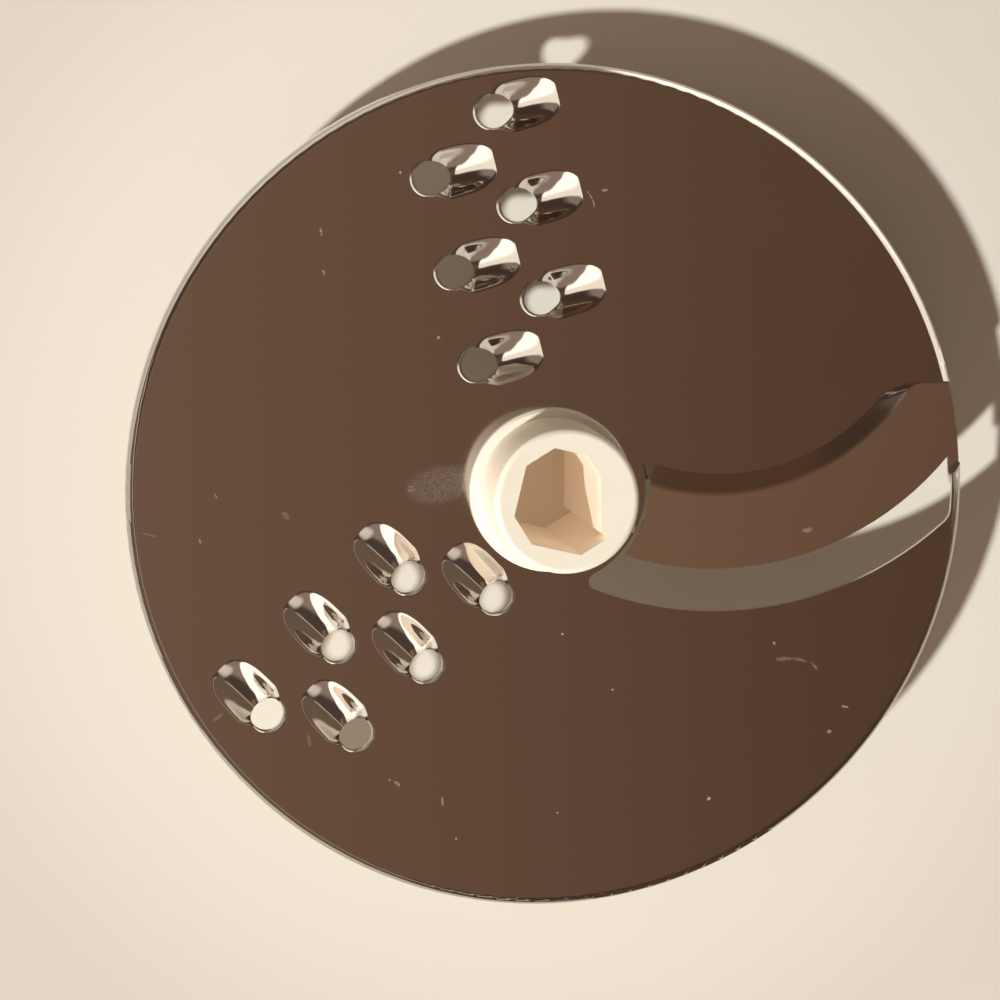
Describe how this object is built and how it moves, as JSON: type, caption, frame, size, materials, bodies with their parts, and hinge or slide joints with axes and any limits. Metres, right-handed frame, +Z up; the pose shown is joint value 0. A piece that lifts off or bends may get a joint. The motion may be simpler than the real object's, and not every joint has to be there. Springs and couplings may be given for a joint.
{
  "type": "food processor disc",
  "caption": "Round reversible steel food processor disc with raised grating teeth on one face, a curved slicing blade on the other and a moulded plastic drive hub.",
  "frame": {"origin": "on the hub's axis, in the plane of the hub's lower end that the disc stands on", "axes": "+Z up along the hub's axis, out of the face with the grating teeth; the slicing slot lies towards +X and -Y"},
  "size_m": [0.13, 0.13, 0.0308],
  "materials": {
    "steel": "polished stainless sheet with fine wear scratches",
    "hub_plastic": "cream white moulded plastic, satin"
  },
  "bodies": {
    "root": {"cutting_disc": "steel", "hub": "hub_plastic"}
  },
  "joints": []
}
